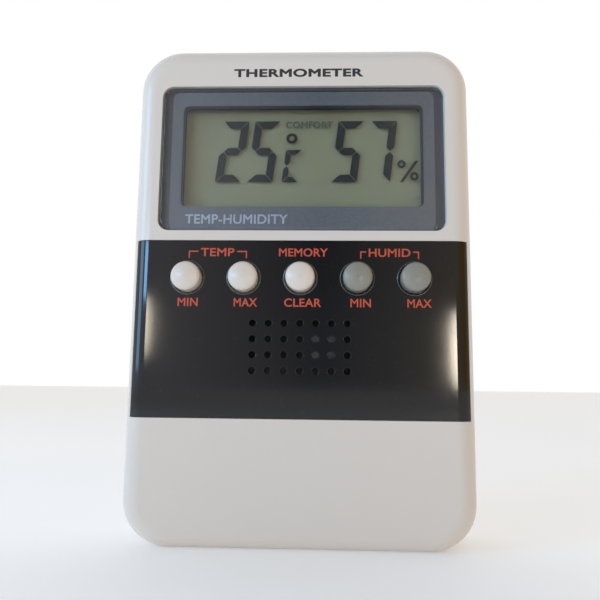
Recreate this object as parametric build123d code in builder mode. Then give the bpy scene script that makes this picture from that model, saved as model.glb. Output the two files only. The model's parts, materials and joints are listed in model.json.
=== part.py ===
from build123d import *
import os

# Digital maximum-minimum thermometer and humidity meter.
# +X is to the user's right, +Y runs from the front face to the back, +Z is up.
# The origin is the middle of the flat bottom that the meter stands on. Sizes are in millimetres.

# case
WIDTH = 73.0
HEIGHT = 108.0
FACE_Y = -9.5
BACK_Y = 9.5
PARTING_Y = -1.0
CORNER_R = 9.5
FRONT_EDGE_R = 4.0
REAR_EDGE_R = 3.0
WALL = 2.0
SEAM_BEVEL = 0.2
LIP_H = 1.6
LIP_GAP = 0.05
MID_Z = HEIGHT / 2
FRONT_IN_Y = FACE_Y + WALL
REAR_IN_Y = BACK_Y - WALL
PRY_NOTCH_Z = 35.5
PRY_NOTCH_H = 0.9

# dark band across the front
BAND_LOW_Z = 26.2
BAND_TOP_Z = 63.5
BAND_T = 0.8
BAND_SINK = 0.1
BAND_BED = 0.03
BAND_WRAP = 1.3
BAND_GAP = 0.1

# window lens, its black adhesive tape and its printed border
LENS_W = 61.6
LENS_H = 32.4
LENS_Z = 82.1
LENS_R = 2.3
LENS_T = 2.4
LENS_EDGE_R = 0.7
LENS_SINK = 0.1
LENS_GAP = 0.15
SHEET_GAP = 0.03
MASK_T = 0.15
TAPE_SIDE_W = 1.9
TAPE_TOP_W = 0.6
TAPE_LOW_W = 0.6
TAPE_IN_R = 1.6
LEDGE_T = 1.2
LEDGE_GAP = 1.6
GASKET_GAP = 0.1
GASKET_SHOW = 0.45
BEZEL_RIM = 2.2
VIEW_W = 53.0
VIEW_H = 23.1
VIEW_Z = 83.05
VIEW_R = 1.2
LENS_LOW_Z = LENS_Z - LENS_H / 2
LENS_TOP_Z = LENS_Z + LENS_H / 2
VIEW_LOW_Z = VIEW_Z - VIEW_H / 2
VIEW_TOP_Z = VIEW_Z + VIEW_H / 2
LENS_SEAT_Y = FACE_Y + LENS_SINK + LENS_T
LEDGE_Y = LENS_SEAT_Y + LEDGE_T

# display stack
GLASS_W = 57.5
GLASS_TOP_Z = 96.8
GLASS_LEDGE_Z = 66.8
GLASS_LOW_Z = 69.3
GLASS_T = 0.7
FILM_T = 0.2
FILM_INSET = 0.75
GLASS_GAP = 0.15
HOLDER_W = 61.2
HOLDER_LOW_Z = 64.9
HOLDER_TOP_Z = 98.5
HOLDER_R = 1.0
HOLDER_POCKET_R = 0.3
HOLDER_FRAME = 4.5
ZEBRA_W = 50.0
ZEBRA_H = 2.0
ZEBRA_LOW_Z = GLASS_LEDGE_Z + 0.2
ZEBRA_GAP = 0.1
DISPLAY_Y = LEDGE_Y + 0.05
FRONT_GLASS_Y = DISPLAY_Y + FILM_T + SHEET_GAP
REAR_GLASS_Y = FRONT_GLASS_Y + GLASS_T + SHEET_GAP
REFLECTOR_Y = REAR_GLASS_Y + GLASS_T + SHEET_GAP
HOLDER_FLOOR_Y = REFLECTOR_Y + FILM_T

# circuit board
BOARD_FRONT_Y = -2.6
BOARD_T = 1.6
BOARD_REAR_Y = BOARD_FRONT_Y + BOARD_T
BOARD_W = 66.0
BOARD_R = 1.5
BOARD_LOW_Z = 37.5
BOARD_TOP_Z = 104.3
BOARD_NOTCH_X = 22.0
BOARD_NOTCH_Z = 98.0

# parts on the back of the board, as (x, z) or lists of it
BLOB_AT = (-4.0, 83.0)
BLOB_R = 6.0
BLOB_H = 1.4
BLOB_EDGE_R = 1.3
CRYSTAL_X = 10.0
CRYSTAL_Z = 80.0
CRYSTAL_R = 1.0
CRYSTAL_L = 6.0
CRYSTAL_LEAD = 0.2
CRYSTAL_LEAD_X = 0.4
CRYSTAL_LEAD_L = 1.8
CAPACITOR_AT = (-22.0, 64.0)
CAPACITOR_R = 2.5
CAPACITOR_H = 5.4
CAPACITOR_EDGE_R = 0.35
CHIP_L = 1.6
CHIP_W = 0.8
CAPACITOR_CHIPS = [(8.0, 88.0), (12.0, 88.0), (-14.0, 90.0), (-14.0, 76.0), (16.0, 92.0)]
CAPACITOR_CHIP_H = 0.8
RESISTOR_CHIPS = [(8.0, 92.0), (12.0, 92.0), (-14.0, 86.0), (-14.0, 72.0), (4.0, 72.0), (0.0, 72.0)]
RESISTOR_CHIP_H = 0.5

# buttons and their rubber pad
BUTTON_Z = 55.5
BUTTON_PITCH = 12.0
BUTTON_XS = [BUTTON_PITCH * n for n in range(-2, 3)]
BUTTON_HOLE_R = 3.3
BUTTON_RIM_ROUND = 0.35
BUTTON_R = 3.05
BUTTON_PROUD = 3.2
CROWN_REACH = 0.8 * BUTTON_R
CROWN_DROP = 0.4
EDGE_DROP = 1.0
BUTTON_FLANGE_R = 4.4
BUTTON_FLANGE_T = 1.0
BUTTON_STEM_R = 1.5
BUTTON_TRAVEL = 1.0
BUTTON_CLEAR = 0.15
PAD_T = 0.9
PAD_W = 59.0
PAD_H = 10.4
PAD_R = 1.5
DOME_H = 1.65
DOME_FOOT_R = 3.6
DOME_TOP_R = 2.5
DOME_WALL = 0.7
DOME_TOP_Y = BOARD_FRONT_Y - PAD_T - DOME_H
PILL_R = 1.5
PILL_CLEAR = 0.02
BUTTON_NAMES = ["temp_min", "temp_max", "clear", "humidity_min", "humidity_max"]

# vent, and the sensors behind it on the front of the board
VENT_Z = 40.95
VENT_COLUMNS = 7
VENT_ROWS = 4
VENT_PITCH = 3.3
VENT_HOLE_R = 0.7
VENT_RIM_ROUND = 0.12
BEAD_X = -5.0
BEAD_Y = -5.2
BEAD_R = 1.2
BEAD_LEAD = 0.3
BEAD_LEAD_X = 0.6
CAGE_X = 5.0
CAGE_W = 8.0
CAGE_H = 6.4
CAGE_T = 3.0
CAGE_R = 0.6
CAGE_SLOT_W = 0.7
CAGE_SLOT_H = 4.4
CAGE_SLOT_PITCH = 1.6

# screws
CASE_SCREWS = [(-24.0, 32.0), (24.0, 32.0), (-25.5, 101.6), (25.5, 101.6)]
CASE_BOSS_R = 2.6
CASE_SCREW_R = 1.05
CASE_SCREW_HOLE_R = 1.3
CASE_HEAD_R = 2.2
CASE_HEAD_T = 1.6
CASE_HEAD_SEAT_Y = 3.6
CASE_SCREW_TIP_Y = -4.4
POST_R = 3.4
COUNTERBORE_R = 2.5
BOSS_MEET_Y = -1.2
POST_GAP = 0.1
BOARD_SCREWS = [(-30.3, 45.0), (30.3, 45.0), (-10.0, 101.9), (10.0, 101.9)]
BOARD_BOSS_R = 2.3
BOARD_SCREW_R = 0.8
BOARD_SCREW_HOLE_R = 1.0
BOARD_HEAD_R = 1.7
BOARD_HEAD_T = 1.1
BOARD_SCREW_TIP_Y = FRONT_IN_Y + 1.4
SCREW_GAP = 0.05
SCREW_ROOM = 0.4
CROSS_W = 0.7
CROSS_REACH = 0.6
CROSS_DEPTH = 0.6
HEAD_ROUND = 0.35

# battery bay and AAA cell
CELL_R = 5.25
CELL_L = 43.7
CELL_EDGE_R = 0.5
NUB_R = 1.9
NUB_L = 0.8
NUB_EDGE_R = 0.3
CELL_Y = 0.6
CELL_Z = 17.75
CELL_X0 = -20.6
NUB_X = CELL_X0 + CELL_L + NUB_L
BAY_W = 51.2
BAY_H = 11.5
BAY_WALL = 1.2
BAY_FLOOR_Y = -5.0
BAY_TOP_Z = CELL_Z + BAY_H / 2
CONTACT_T = 0.3
CONTACT_HALF = 4.0
CONTACT_GAP = 0.2
DIMPLE_R = 1.6
SPRING_WIRE_R = 0.3
SPRING_R = 3.3
SPRING_TURNS = 3.5
SPRING_TAPER = 15
TAB_HALF = 1.5
TAB_TOP_Z = 26.4
WIRE_R = 0.55
WIRE_BEND_R = 1.0
WIRE_POST_GAP = 0.95

# battery door
DOOR_W = 54.8
DOOR_LOW_Z = 10.2
DOOR_TOP_Z = 25.3
DOOR_T = 1.6
DOOR_GAP = 0.2
DOOR_R = 1.2
DOOR_IN_Y = BACK_Y - DOOR_T
RIM_W = 1.5
RIM_Y = 6.5
HOOKS_X = [-16.0, 16.0]
HOOK_W = 5.0
HOOK_T = 1.0
HOOK_REACH = 0.8
HOOK_ROOT = 1.6
HOOK_GAP = 0.3
HOOK_ROOM = 0.5
LATCH_HALF_W = 4.0
LATCH_REACH = 2.2
LATCH_LOW_Z = DOOR_LOW_Z + 2.6
LATCH_T = 1.0
DISH_Z = DOOR_LOW_Z + 4.6
DISH_W = 15.0
DISH_H = 5.4
DISH_DEPTH = 0.7
GRIP_HALF_W = 4.5
GRIP_T = 0.5
GRIP_H = 0.5
GRIP_PITCH = 1.4

# wire stand
BAIL_WIRE_R = 0.9
BAIL_X = 31.0
BAIL_Z = 58.0
BAIL_LOW_Z = 6.4
BAIL_Y = 8.4
BAIL_PIN_X = 34.0
BAIL_PIN_GAP = 0.3
BAIL_CORNER_R = 3.0
BAIL_ELBOW_R = 1.2
BAIL_HOLE_R = 0.95
GROOVE_W = 2.4
GROOVE_D = 2.4
GROOVE_TOP_Z = BAIL_Z + 1.3
GROOVE_BACK_Y = 5.6
GROOVE_RIB_W = 2.8
SCOOP_Z = BAIL_LOW_Z + 1.0
SCOOP_W = 14.0
SCOOP_H = 4.6

# wall hook keyhole
KEYHOLE_Z = 86.0
KEYHOLE_R = 4.0
KEYHOLE_SLOT_R = 1.8
KEYHOLE_RISE = 7.0
KEYHOLE_ROOM_Y = 4.4
KEYHOLE_ROOM_GAP = 0.3
KEYHOLE_ROOM_R = 1.5
KEYHOLE_WALL = 1.2

# unit switch on the back: a soldered switch and the slider that the user moves
SWITCH_X = 20.0
SWITCH_Z = 70.0
SWITCH_TRAVEL = 2.0
SWITCH_MID_X = SWITCH_X + SWITCH_TRAVEL / 2
SWITCH_BODY_W = 8.6
SWITCH_BODY_H = 3.6
SWITCH_BODY_T = 3.4
SWITCH_WELL_W = 4.6
SWITCH_WELL_H = 1.9
SWITCH_WELL_D = 1.5
KNOB_W = 3.0
KNOB_H = 2.8
KNOB_GAP = 0.2
KNOB_SINK = 0.4
KNOB_GROOVES = [-0.8, 0.0, 0.8]
KNOB_GROOVE_W = 0.35
KNOB_GROOVE_D = 0.3
SLIDER_W = 8.0
SLIDER_H = 4.8
SLIDER_T = 0.85
SLIDER_GAP = 0.15
FOOT_W = 2.0
FOOT_H = 1.6
FOOT_GAP = 0.2
SWITCH_DISH_W = 11.0
SWITCH_DISH_H = 6.4
SWITCH_DISH_R = 1.0
SWITCH_DISH_D = 0.5


def at_y(y):
    """A sketch plane seen from the front: local x is X, local y is Z, and extrude goes to the front."""
    return Plane.XZ.offset(-y)


def span(low, high):
    """A middle and a length from two ends."""
    return (low + high) / 2, high - low


def outline(inset, mode=Mode.ADD):
    """The case's rounded outline, drawn smaller by inset, in the sketch that calls it."""
    with Locations((0, MID_Z)):
        RectangleRounded(WIDTH - 2 * inset, HEIGHT - 2 * inset, CORNER_R - inset, mode=mode)


def panel_outline(width, z0, z1, radius, mode=Mode.ADD):
    """A rounded rectangle centred on X from height z0 to z1, in the sketch that calls it."""
    middle, height = span(z0, z1)
    with Locations((0, middle)):
        RectangleRounded(width, height, radius, mode=mode)


def plate(x0, x1, y0, y1, z0, z1, mode=Mode.ADD):
    """A block between two corners, in the part that calls it."""
    middle_x, length_x = span(*sorted((x0, x1)))
    middle_y, length_y = span(y0, y1)
    middle_z, length_z = span(z0, z1)
    with Locations((middle_x, middle_y, middle_z)):
        Box(length_x, length_y, length_z, mode=mode)


def slab(y0, y1, width, height, x, z, mode=Mode.ADD):
    """A block centred on (x, z), from y0 in front to y1 behind, in the part that calls it."""
    plate(x - width / 2, x + width / 2, y0, y1, z - height / 2, z + height / 2, mode)


def rods(places, radius, y0, y1, mode=Mode.ADD):
    """Round bars along Y at (x, z) places, from y0 in front to y1 behind."""
    with BuildSketch(at_y(y1)) as discs:
        with Locations(*places):
            Circle(radius)
    extrude(discs.sketch, amount=y1 - y0, mode=mode)


def round_rims(panel, radius, size):
    """Rounds the front edges of the holes of one radius in the part that calls it."""
    circles = panel.edges().filter_by(GeomType.CIRCLE).group_by(Axis.Y)[0]
    fillet([edge for edge in circles if abs(edge.radius - radius) < size / 2], size)


def band_profile(z, sink, thickness, end_gap):
    """The band's section: a strip that follows the front face and wraps round both side edges."""
    with BuildSketch(Plane.XY.offset(z)) as profile:
        with Locations((0, FACE_Y + sink)):
            Rectangle(WIDTH - 2 * sink, BACK_Y - FACE_Y, align=(Align.CENTER, Align.MIN))
        fillet(profile.vertices().group_by(Axis.Y)[0], FRONT_EDGE_R - sink)
        offset(amount=-thickness, mode=Mode.SUBTRACT)
        with Locations((0, FACE_Y)):
            Rectangle(WIDTH, BAND_WRAP - end_gap, align=(Align.CENTER, Align.MIN), mode=Mode.INTERSECT)
    return profile


def vent_places():
    """Centres of the vent holes, as (x, z)."""
    with GridLocations(VENT_PITCH, VENT_PITCH, VENT_COLUMNS, VENT_ROWS) as grid:
        return [(spot.position.X, spot.position.Y + VENT_Z) for spot in grid.locations]


def button_places():
    """Centres of the buttons, as (x, z)."""
    return [(x, BUTTON_Z) for x in BUTTON_XS]


def front_cavity():
    with BuildPart() as cavity:
        with BuildSketch(at_y(PARTING_Y)):
            outline(WALL)
        extrude(amount=PARTING_Y - FRONT_IN_Y)
        fillet(cavity.faces().sort_by(Axis.Y)[0].edges(), FRONT_EDGE_R - WALL)
    return cavity


def rear_cavity():
    with BuildPart() as cavity:
        with BuildSketch(at_y(REAR_IN_Y)):
            outline(WALL)
        extrude(amount=REAR_IN_Y - PARTING_Y)
        fillet(cavity.faces().sort_by(Axis.Y)[-1].edges(), REAR_EDGE_R - WALL)
    return cavity


def make_front_case():
    cavity = front_cavity()
    with BuildPart() as case:
        with BuildSketch(at_y(PARTING_Y)):
            outline(0)
        extrude(amount=PARTING_Y - FACE_Y)
        fillet(case.faces().sort_by(Axis.Y)[0].edges(), FRONT_EDGE_R)
        chamfer(case.faces().sort_by(Axis.Y)[-1].edges(), SEAM_BEVEL)
        add(cavity.part, mode=Mode.SUBTRACT)
        # frame behind the window
        with BuildSketch(at_y(LEDGE_Y)):
            panel_outline(LENS_W + 2 * BEZEL_RIM, LENS_LOW_Z - BEZEL_RIM, LENS_TOP_Z + BEZEL_RIM, LENS_R)
        extrude(amount=LEDGE_Y - FRONT_IN_Y)
        add_front_bosses()
        cut_window()
        cut_band_seat()
        cut_front_seam()
    return case


def add_front_bosses():
    """Screw bosses inside the front shell, with their pilot holes."""
    case_room_y = CASE_SCREW_TIP_Y - SCREW_ROOM
    board_room_y = BOARD_SCREW_TIP_Y - SCREW_ROOM
    rods(CASE_SCREWS, CASE_BOSS_R, FRONT_IN_Y, BOSS_MEET_Y)
    rods(BOARD_SCREWS, BOARD_BOSS_R, FRONT_IN_Y, BOARD_FRONT_Y)
    rods(CASE_SCREWS, CASE_SCREW_R + SCREW_GAP, case_room_y, BOSS_MEET_Y, Mode.SUBTRACT)
    rods(BOARD_SCREWS, BOARD_SCREW_R + SCREW_GAP, board_room_y, BOARD_FRONT_Y, Mode.SUBTRACT)


def cut_window():
    """The lens seat, and the opening from it to the display."""
    with BuildSketch(at_y(LENS_SEAT_Y)) as seat:
        panel_outline(
            LENS_W + 2 * LENS_GAP, LENS_LOW_Z - LENS_GAP, LENS_TOP_Z + LENS_GAP, LENS_R + LENS_GAP
        )
    extrude(seat.sketch, amount=LENS_SEAT_Y - FACE_Y, mode=Mode.SUBTRACT)
    with BuildSketch(at_y(LEDGE_Y)) as view:
        panel_outline(
            VIEW_W + 2 * LEDGE_GAP, VIEW_LOW_Z - LEDGE_GAP, VIEW_TOP_Z + LEDGE_GAP, VIEW_R + LEDGE_GAP
        )
    extrude(view.sketch, amount=LEDGE_T, mode=Mode.SUBTRACT)


def cut_band_seat():
    """The recess that the band is glued into, the button holes and one opening behind the vent."""
    recess = band_profile(BAND_LOW_Z - BAND_GAP, 0, BAND_SINK + BAND_T + BAND_BED, 0)
    extrude(recess.sketch, amount=BAND_TOP_Z - BAND_LOW_Z + 2 * BAND_GAP, mode=Mode.SUBTRACT)
    rods(button_places(), BUTTON_HOLE_R, FACE_Y, FRONT_IN_Y, Mode.SUBTRACT)
    with BuildSketch(at_y(FRONT_IN_Y)) as opening:
        with Locations((0, VENT_Z)):
            RectangleRounded(VENT_COLUMNS * VENT_PITCH, VENT_ROWS * VENT_PITCH, VENT_HOLE_R)
    extrude(opening.sketch, amount=WALL, mode=Mode.SUBTRACT)


def cut_front_seam():
    """The rebate for the rear shell's lip, and a slot to prise the shells apart."""
    with BuildSketch(at_y(PARTING_Y)) as rebate:
        outline(WALL / 2)
        outline(WALL, Mode.SUBTRACT)
    extrude(rebate.sketch, amount=LIP_H, mode=Mode.SUBTRACT)
    slab(
        PARTING_Y - LIP_H, PARTING_Y, WALL / 2, PRY_NOTCH_H,
        WALL / 4 - WIDTH / 2, PRY_NOTCH_Z, Mode.SUBTRACT,
    )


def make_band_panel():
    section = band_profile(BAND_LOW_Z, BAND_SINK, BAND_T, BAND_GAP)
    with BuildPart() as panel:
        extrude(section.sketch, amount=BAND_TOP_Z - BAND_LOW_Z)
        rods(button_places(), BUTTON_HOLE_R, FACE_Y, FRONT_IN_Y, Mode.SUBTRACT)
        round_rims(panel, BUTTON_HOLE_R, BUTTON_RIM_ROUND)
        rods(vent_places(), VENT_HOLE_R, FACE_Y, FRONT_IN_Y, Mode.SUBTRACT)
        round_rims(panel, VENT_HOLE_R, VENT_RIM_ROUND)
    return panel


def make_lens():
    rear = LENS_SEAT_Y - MASK_T - SHEET_GAP
    with BuildPart() as lens:
        with BuildSketch(at_y(rear)):
            panel_outline(LENS_W, LENS_LOW_Z, LENS_TOP_Z, LENS_R)
        extrude(amount=rear - FACE_Y - LENS_SINK)
        fillet(lens.faces().sort_by(Axis.Y)[0].edges(), LENS_EDGE_R)
    return lens


def tape_inside(mode=Mode.ADD):
    """The inner edge of the adhesive tape, in the sketch that calls it."""
    low, top = LENS_LOW_Z + TAPE_LOW_W, LENS_TOP_Z - TAPE_TOP_W
    panel_outline(LENS_W - 2 * TAPE_SIDE_W, low, top, TAPE_IN_R, mode)


def make_lens_tape():
    """The black adhesive ring that holds the lens on its ledge."""
    with BuildPart() as tape:
        with BuildSketch(at_y(LENS_SEAT_Y)):
            panel_outline(LENS_W, LENS_LOW_Z, LENS_TOP_Z, LENS_R)
            tape_inside(Mode.SUBTRACT)
        extrude(amount=MASK_T)
    return tape


def make_lens_mask():
    """The printed border inside the tape, round the view of the display."""
    with BuildPart() as mask:
        with BuildSketch(at_y(LENS_SEAT_Y)):
            tape_inside()
            panel_outline(VIEW_W, VIEW_LOW_Z, VIEW_TOP_Z, VIEW_R, Mode.SUBTRACT)
        extrude(amount=MASK_T)
    return mask


def make_lcd_gasket():
    """The black foam frame that seals the space between the lens and the display."""
    reach = LEDGE_GAP - GASKET_GAP
    with BuildPart() as gasket:
        with BuildSketch(at_y(DISPLAY_Y)):
            panel_outline(VIEW_W + 2 * reach, VIEW_LOW_Z - reach, VIEW_TOP_Z + reach, VIEW_R + reach)
            panel_outline(
                VIEW_W - 2 * GASKET_SHOW, VIEW_LOW_Z, VIEW_TOP_Z - GASKET_SHOW, VIEW_R, Mode.SUBTRACT
            )
        extrude(amount=DISPLAY_Y - LENS_SEAT_Y)
    return gasket


def display_sheet(front, thickness, low_z, inset):
    """One flat rectangular sheet of the display stack, up to the glass's top edge."""
    with BuildPart() as sheet:
        slab(
            front, front + thickness, GLASS_W - 2 * inset, GLASS_TOP_Z - low_z - 2 * inset,
            0, (low_z + GLASS_TOP_Z) / 2,
        )
    return sheet


def make_lcd_holder():
    with BuildPart() as holder:
        with BuildSketch(at_y(BOARD_FRONT_Y)):
            panel_outline(HOLDER_W, HOLDER_LOW_Z, HOLDER_TOP_Z, HOLDER_R)
        extrude(amount=BOARD_FRONT_Y - DISPLAY_Y)
        # pocket for the glass
        with BuildSketch(at_y(HOLDER_FLOOR_Y)):
            panel_outline(
                GLASS_W + 2 * GLASS_GAP, GLASS_LEDGE_Z - GLASS_GAP, GLASS_TOP_Z + GLASS_GAP, HOLDER_POCKET_R
            )
        extrude(amount=HOLDER_FLOOR_Y - DISPLAY_Y, mode=Mode.SUBTRACT)
        # slot for the rubber contact strip, and a lightening window
        slab(
            DISPLAY_Y, BOARD_FRONT_Y, ZEBRA_W + 4 * ZEBRA_GAP, ZEBRA_H + 2 * ZEBRA_GAP,
            0, ZEBRA_LOW_Z + ZEBRA_H / 2, Mode.SUBTRACT,
        )
        with BuildSketch(at_y(BOARD_FRONT_Y)):
            panel_outline(
                GLASS_W - 2 * HOLDER_FRAME, GLASS_LOW_Z + HOLDER_FRAME, GLASS_TOP_Z - HOLDER_FRAME, HOLDER_R
            )
        extrude(amount=BOARD_FRONT_Y - HOLDER_FLOOR_Y, mode=Mode.SUBTRACT)
    return holder


def make_zebra_strip():
    """The rubber contact strip from the glass's ledge to the board."""
    with BuildPart() as strip:
        slab(FRONT_GLASS_Y + GLASS_T, BOARD_FRONT_Y, ZEBRA_W, ZEBRA_H, 0, ZEBRA_LOW_Z + ZEBRA_H / 2)
    return strip


def make_main_board():
    notch_w = BOARD_W / 2 - BOARD_NOTCH_X
    notch_z, notch_h = span(BOARD_NOTCH_Z, BOARD_TOP_Z)
    with BuildPart() as board:
        with BuildSketch(at_y(BOARD_REAR_Y)):
            panel_outline(BOARD_W, BOARD_LOW_Z, BOARD_TOP_Z, BOARD_R)
            for side in (-1, 1):
                with Locations((side * (BOARD_NOTCH_X + notch_w / 2), notch_z)):
                    Rectangle(notch_w, notch_h, mode=Mode.SUBTRACT)
        extrude(amount=BOARD_T)
        rods(BOARD_SCREWS, BOARD_SCREW_HOLE_R, BOARD_FRONT_Y, BOARD_REAR_Y, Mode.SUBTRACT)
    return board


def make_button(x):
    """A domed push button: cap, retaining flange and the stem that presses the rubber dome."""
    cap_y = FACE_Y - BUTTON_PROUD
    flange_y = FRONT_IN_Y + BUTTON_CLEAR
    flange_rear = flange_y + BUTTON_FLANGE_T
    edge = (BUTTON_R, cap_y + EDGE_DROP)
    with BuildPart() as button:
        with BuildSketch(Plane.XY) as section:
            with BuildLine():
                Line((0, DOME_TOP_Y), (0, cap_y))
                crown = TangentArc((0, cap_y), (CROWN_REACH, cap_y + CROWN_DROP), tangent=(1, 0))
                TangentArc(crown @ 1, edge, tangent=crown % 1)
                Polyline(
                    edge,
                    (BUTTON_R, flange_y),
                    (BUTTON_FLANGE_R, flange_y),
                    (BUTTON_FLANGE_R, flange_rear),
                    (BUTTON_STEM_R, flange_rear),
                    (BUTTON_STEM_R, DOME_TOP_Y),
                    (0, DOME_TOP_Y),
                )
            make_face()
        revolve(section.sketch, axis=Axis.Y)
    button.part.position = (x, 0, BUTTON_Z)
    return button


def make_carbon_pill(x):
    """The conductive pill inside a rubber dome, which closes the contact at the end of the travel."""
    with BuildPart() as pill:
        rods([(x, BUTTON_Z)], PILL_R, DOME_TOP_Y + DOME_WALL, BOARD_FRONT_Y - BUTTON_TRAVEL - PILL_CLEAR)
    return pill


def make_rubber_keypad():
    along_y = {"rotation": (90, 0, 0), "align": (Align.CENTER, Align.CENTER, Align.MIN)}
    pad_front = BOARD_FRONT_Y - PAD_T
    with BuildPart() as pad:
        with BuildSketch(at_y(BOARD_FRONT_Y)):
            panel_outline(PAD_W, BUTTON_Z - PAD_H / 2, BUTTON_Z + PAD_H / 2, PAD_R)
        extrude(amount=PAD_T)
        with Locations(*[(x, pad_front, BUTTON_Z) for x in BUTTON_XS]):
            Cone(DOME_FOOT_R, DOME_TOP_R, DOME_H, **along_y)
        with Locations(*[(x, BOARD_FRONT_Y, BUTTON_Z) for x in BUTTON_XS]):
            Cone(
                DOME_FOOT_R - DOME_WALL, DOME_TOP_R - DOME_WALL, PAD_T + DOME_H - DOME_WALL,
                mode=Mode.SUBTRACT, **along_y,
            )
    return pad


def screws(places, tip_y, seat_y, shank_r, head_r, head_t):
    """Cross-recess screws along Y, heads towards the back, one solid at each place."""
    with BuildPart() as group:
        rods(places, shank_r, tip_y, seat_y)
        rods(places, head_r, seat_y, seat_y + head_t)
        heads = group.faces().filter_by(Plane.XZ).group_by(Axis.Y)[-1].edges()
        fillet(heads, head_t * HEAD_ROUND)
        with BuildSketch(at_y(seat_y + head_t)):
            with Locations(*places):
                Rectangle(2 * head_r * CROSS_REACH, CROSS_W)
                Rectangle(CROSS_W, 2 * head_r * CROSS_REACH)
        extrude(amount=head_t * CROSS_DEPTH, mode=Mode.SUBTRACT)
    return group


def make_controller_blob():
    """Black potting over the bare controller chip."""
    with BuildPart() as blob:
        rods([BLOB_AT], BLOB_R, BOARD_REAR_Y, BOARD_REAR_Y + BLOB_H)
        fillet(blob.faces().sort_by(Axis.Y)[-1].edges(), BLOB_EDGE_R)
    return blob


def make_crystal():
    """The 32 kHz clock crystal: a small can with two leads bent into the board."""
    y = BOARD_REAR_Y + CRYSTAL_R + SCREW_GAP
    root = CRYSTAL_Z - CRYSTAL_L / 2
    with BuildPart() as crystal:
        with Locations((CRYSTAL_X, y, CRYSTAL_Z)):
            Cylinder(CRYSTAL_R, CRYSTAL_L)
        for side in (-1, 1):
            x = CRYSTAL_X + side * CRYSTAL_LEAD_X
            slab(
                y - CRYSTAL_LEAD / 2, y + CRYSTAL_LEAD / 2, CRYSTAL_LEAD, CRYSTAL_LEAD_L,
                x, root - CRYSTAL_LEAD_L / 2 + CRYSTAL_LEAD / 2,
            )
            slab(
                BOARD_REAR_Y, y + CRYSTAL_LEAD / 2, CRYSTAL_LEAD, CRYSTAL_LEAD,
                x, root - CRYSTAL_LEAD_L + CRYSTAL_LEAD / 2,
            )
    return crystal


def chips(places, height):
    """Small surface-mount parts on the back of the board, one solid at each (x, z)."""
    with BuildPart() as group:
        for x, z in places:
            slab(BOARD_REAR_Y, BOARD_REAR_Y + height, CHIP_L, CHIP_W, x, z)
    return group


def make_filter_capacitor():
    """An upright electrolytic can on the back of the board."""
    with BuildPart() as can:
        rods([CAPACITOR_AT], CAPACITOR_R, BOARD_REAR_Y, BOARD_REAR_Y + CAPACITOR_H)
        fillet(can.edges().filter_by(GeomType.CIRCLE), CAPACITOR_EDGE_R)
    return can


def make_thermistor():
    """An epoxy bead on two leads, held off the front of the board behind the vent."""
    with BuildPart() as bead:
        with Locations((BEAD_X, BEAD_Y, VENT_Z)):
            Sphere(BEAD_R)
        for side in (-1, 1):
            slab(BEAD_Y, BOARD_FRONT_Y, BEAD_LEAD, BEAD_LEAD, BEAD_X + side * BEAD_LEAD_X, VENT_Z)
    return bead


def make_humidity_sensor():
    """A slotted plastic cage over the humidity element, soldered behind the vent."""
    front = BOARD_FRONT_Y - CAGE_T
    with BuildPart() as sensor:
        slab(front, BOARD_FRONT_Y, CAGE_W, CAGE_H, CAGE_X, VENT_Z)
        fillet(sensor.edges().filter_by(Axis.Y), CAGE_R)
        for step in (-1.5, -0.5, 0.5, 1.5):
            x = CAGE_X + step * CAGE_SLOT_PITCH
            slab(front, front + CAGE_SLOT_W, CAGE_SLOT_W, CAGE_SLOT_H, x, VENT_Z, Mode.SUBTRACT)
    return sensor


def make_switch_body():
    """The slide switch soldered to the back of the board, open for the slider's foot."""
    top = BOARD_REAR_Y + SWITCH_BODY_T
    with BuildPart() as body:
        slab(BOARD_REAR_Y, top, SWITCH_BODY_W, SWITCH_BODY_H, SWITCH_MID_X, SWITCH_Z)
        slab(top - SWITCH_WELL_D, top, SWITCH_WELL_W, SWITCH_WELL_H, SWITCH_MID_X, SWITCH_Z, Mode.SUBTRACT)
    return body


def make_unit_switch():
    """The ribbed slider in the back, with a flange inside the wall and a foot in the switch."""
    foot_y = BOARD_REAR_Y + SWITCH_BODY_T - SWITCH_WELL_D + FOOT_GAP
    top_y = BACK_Y - KNOB_SINK
    flange_y = REAR_IN_Y - SLIDER_GAP
    with BuildPart() as knob:
        slab(flange_y, top_y, KNOB_W, KNOB_H, SWITCH_X, SWITCH_Z)
        slab(flange_y - SLIDER_T, flange_y, SLIDER_W, SLIDER_H, SWITCH_X, SWITCH_Z)
        slab(foot_y, flange_y - SLIDER_T, FOOT_W, FOOT_H, SWITCH_X, SWITCH_Z)
        for step in KNOB_GROOVES:
            slab(
                top_y - KNOB_GROOVE_D, top_y, KNOB_GROOVE_W, KNOB_H,
                SWITCH_X + step, SWITCH_Z, Mode.SUBTRACT,
            )
    return knob


def keyhole_room(wall):
    """The closed room for the hook's head, grown by wall, in the sketch that calls it."""
    reach = KEYHOLE_R + KEYHOLE_ROOM_GAP + wall
    with Locations((0, KEYHOLE_Z + KEYHOLE_RISE / 2)):
        RectangleRounded(2 * reach, KEYHOLE_RISE + 2 * reach, KEYHOLE_ROOM_R)


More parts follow.
